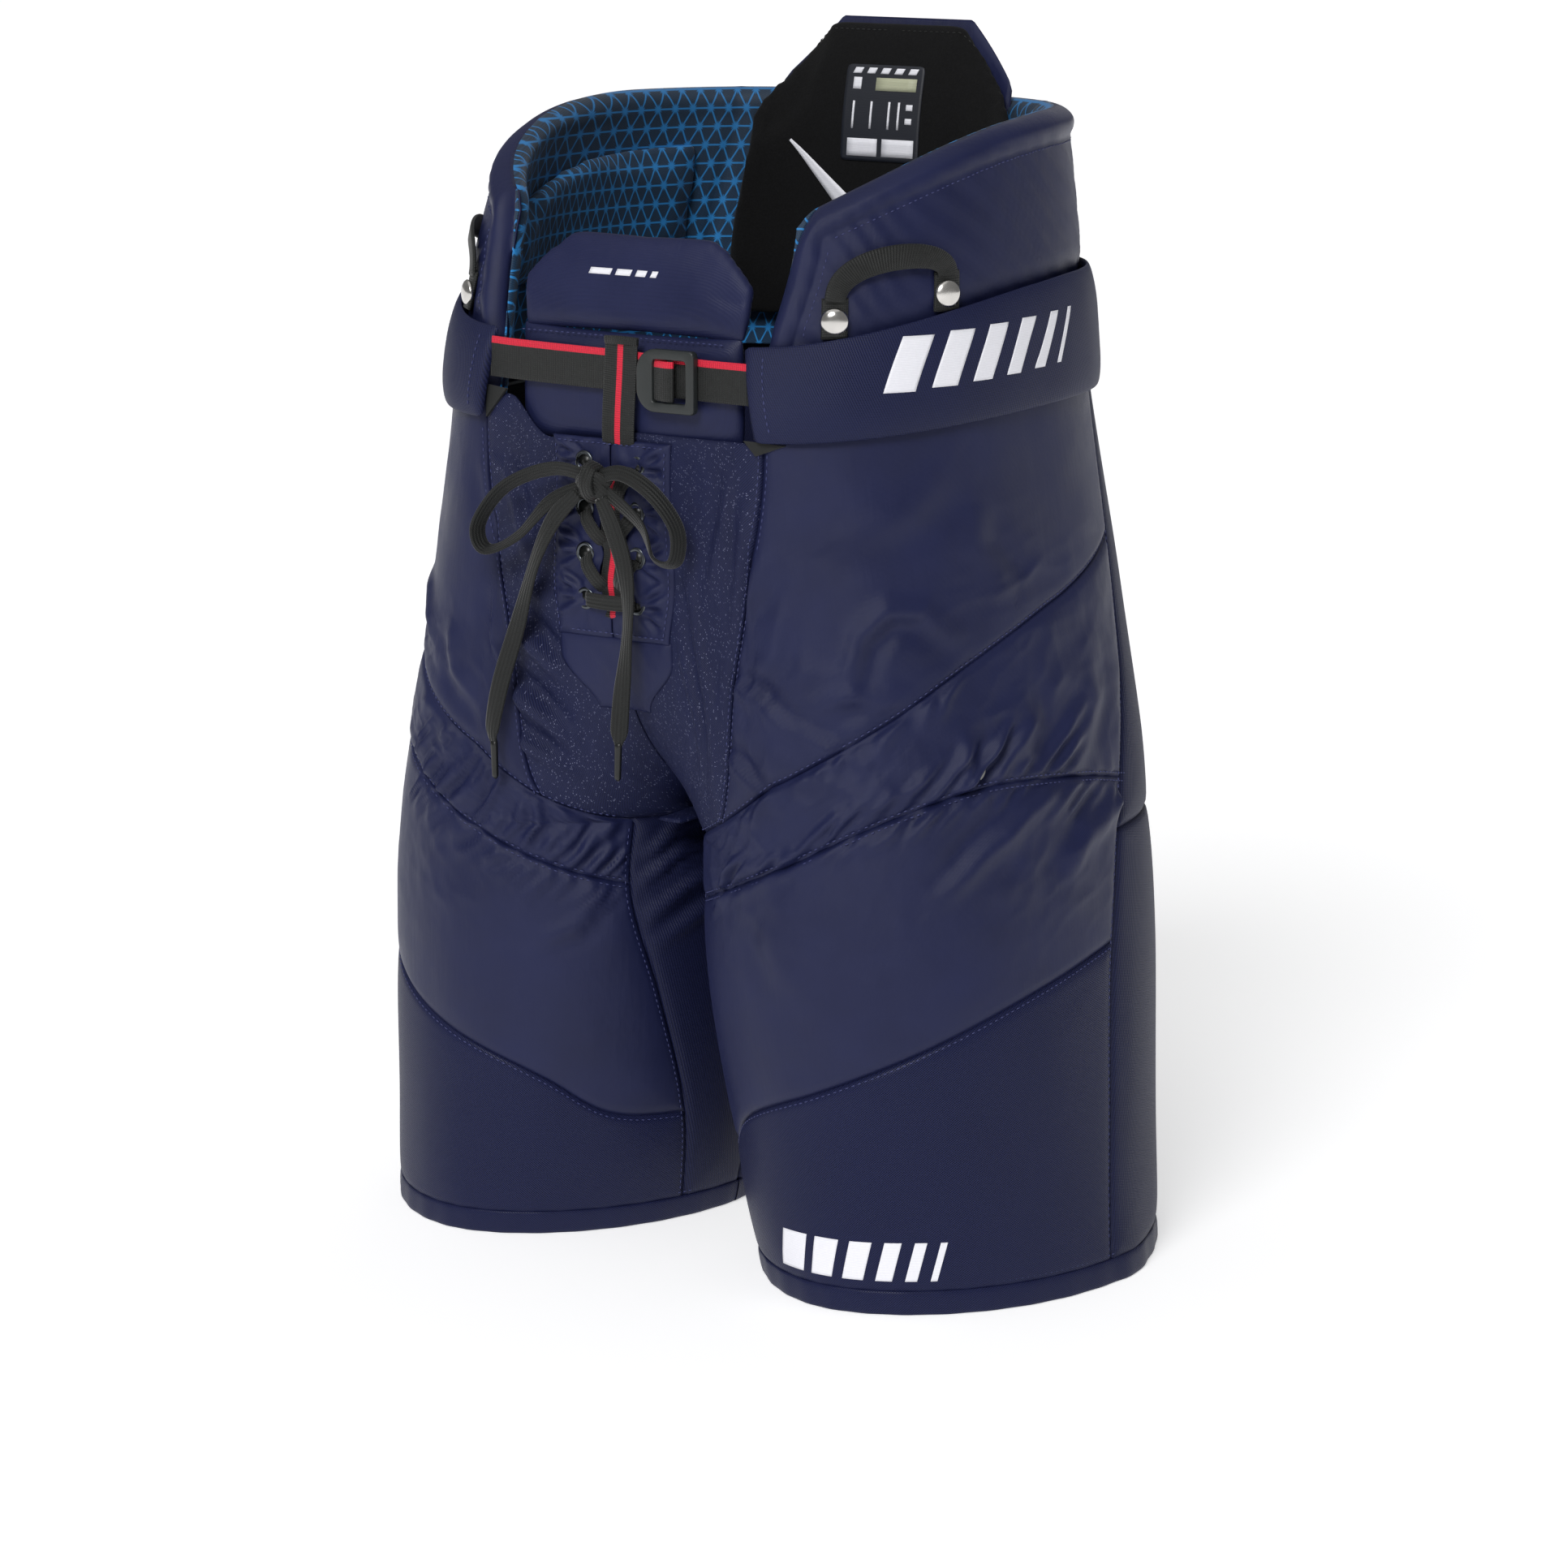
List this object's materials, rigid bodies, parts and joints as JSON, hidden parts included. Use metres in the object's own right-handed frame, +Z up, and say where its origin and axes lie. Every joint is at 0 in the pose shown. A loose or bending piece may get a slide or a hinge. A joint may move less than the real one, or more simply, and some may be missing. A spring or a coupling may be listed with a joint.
{
  "type": "hockey pants",
  "caption": "Padded ice hockey pants with two hinged thigh legs, laced fly, waist strap with ladder-lock buckle, kidney wings, spine pad and suspender loops.",
  "frame": {"origin": "on the floor, at the middle of the plan outline of the two hems, front to back and side to side, under the standing pants", "axes": "+Z up, -Y the wearer's front, +X the wearer's left"},
  "size_m": [0.424, 0.2824, 0.614],
  "materials": {
    "nylon": "satin nylon",
    "mesh_cloth": "embossed polyester mesh",
    "knit": "stretch knit with a faint glitter",
    "lining": "brushed lining with a printed grid",
    "black_padding": "matt foam-backed cloth",
    "guard_plastic": "moulded polyethylene",
    "foam": "closed-cell foam",
    "webbing": "woven polypropylene",
    "lace": "woven waxed lace",
    "buckle_plastic": "moulded acetal",
    "black_plastic": "shrunk lace tip",
    "metal": "polished nickel plate"
  },
  "bodies": {
    "pelvis": {"hip_shell_left": "nylon", "groin_panel_left": "knit", "seat_panel_left": "mesh_cloth", "hip_guard_plate_left": "guard_plastic", "hip_guard_foam_left": "foam", "kidney_wing_left": "nylon", "kidney_pad_left": "lining", "belt_wing_left": "mesh_cloth", "placket_left": "nylon", "eyelet_left_1": "metal", "eyelet_left_2": "metal", "eyelet_left_3": "metal", "eyelet_left_4": "metal", "rivet_left_front": "metal", "rivet_left_side": "metal", "lace_end_left": "lace", "hip_shell_right": "nylon", "groin_panel_right": "knit", "seat_panel_right": "mesh_cloth", "hip_guard_plate_right": "guard_plastic", "hip_guard_foam_right": "foam", "kidney_wing_right": "nylon", "kidney_pad_right": "lining", "belt_wing_right": "mesh_cloth", "placket_right": "nylon", "eyelet_right_1": "metal", "eyelet_right_2": "metal", "eyelet_right_3": "metal", "eyelet_right_4": "metal", "rivet_right_front": "metal", "rivet_right_side": "metal", "lace_end_right": "lace", "fly_patch": "nylon", "crotch_gusset": "knit", "tail_pad": "foam", "belly_pad_lower": "nylon", "waist_webbing": "webbing", "buckle_webbing": "webbing", "centre_webbing": "webbing", "fly_tongue": "nylon", "lacing": "lace", "lace_bow": "lace"},
    "left_leg": {"leg_shell_left": "nylon", "hem_band_left": "mesh_cloth", "thigh_guard_plate_left": "guard_plastic", "thigh_guard_foam_left": "foam", "leg_liner_left": "lining", "aglet_left": "black_plastic"},
    "right_leg": {"leg_shell_right": "nylon", "hem_band_right": "mesh_cloth", "thigh_guard_plate_right": "guard_plastic", "thigh_guard_foam_right": "foam", "leg_liner_right": "lining", "aglet_right": "black_plastic"},
    "upper_belly_pad": {"belly_pad_upper": "nylon"},
    "spine_support": {"spine_pad": "black_padding", "spine_plate": "guard_plastic"},
    "buckle_frame": {"buckle": "buckle_plastic"},
    "left_loop": {"suspender_loop_left": "webbing"},
    "right_loop": {"suspender_loop_right": "webbing"}
  },
  "joints": [
    {"name": "left_hip", "type": "hinge", "parent": "pelvis", "child": "left_leg", "pos_m": [0.1, 0.00472, 0.34], "axis": [1, 0, 0], "range_deg": [-30, 10], "deforming": ["lace_end_left"]},
    {"name": "right_hip", "type": "hinge", "parent": "pelvis", "child": "right_leg", "pos_m": [-0.1, 0.00472, 0.34], "axis": [1, 0, 0], "range_deg": [-30, 10], "deforming": ["lace_end_right"]},
    {"name": "belly_fold", "type": "hinge", "parent": "pelvis", "child": "upper_belly_pad", "pos_m": [0, -0.12128, 0.471], "axis": [1, 0, 0], "range_deg": [0, 40]},
    {"name": "spine_tilt", "type": "hinge", "parent": "pelvis", "child": "spine_support", "pos_m": [0, 0.11632, 0.45], "axis": [1, 0, 0], "range_deg": [0, 8]},
    {"name": "buckle_tilt", "type": "hinge", "parent": "pelvis", "child": "buckle_frame", "pos_m": [0.049, -0.12608, 0.451], "axis": [0, 0, 1], "range_deg": [0, 35]},
    {"name": "left_loop_tilt", "type": "hinge", "parent": "pelvis", "child": "left_loop", "pos_m": [0.12504, -0.07447, 0.49522], "axis": [0.5183, 0.8358, 0.1813], "range_deg": [0, 45]},
    {"name": "right_loop_tilt", "type": "hinge", "parent": "pelvis", "child": "right_loop", "pos_m": [-0.12504, -0.07447, 0.49522], "axis": [-0.5183, 0.8358, 0.1813], "range_deg": [-45, 0]}
  ]
}
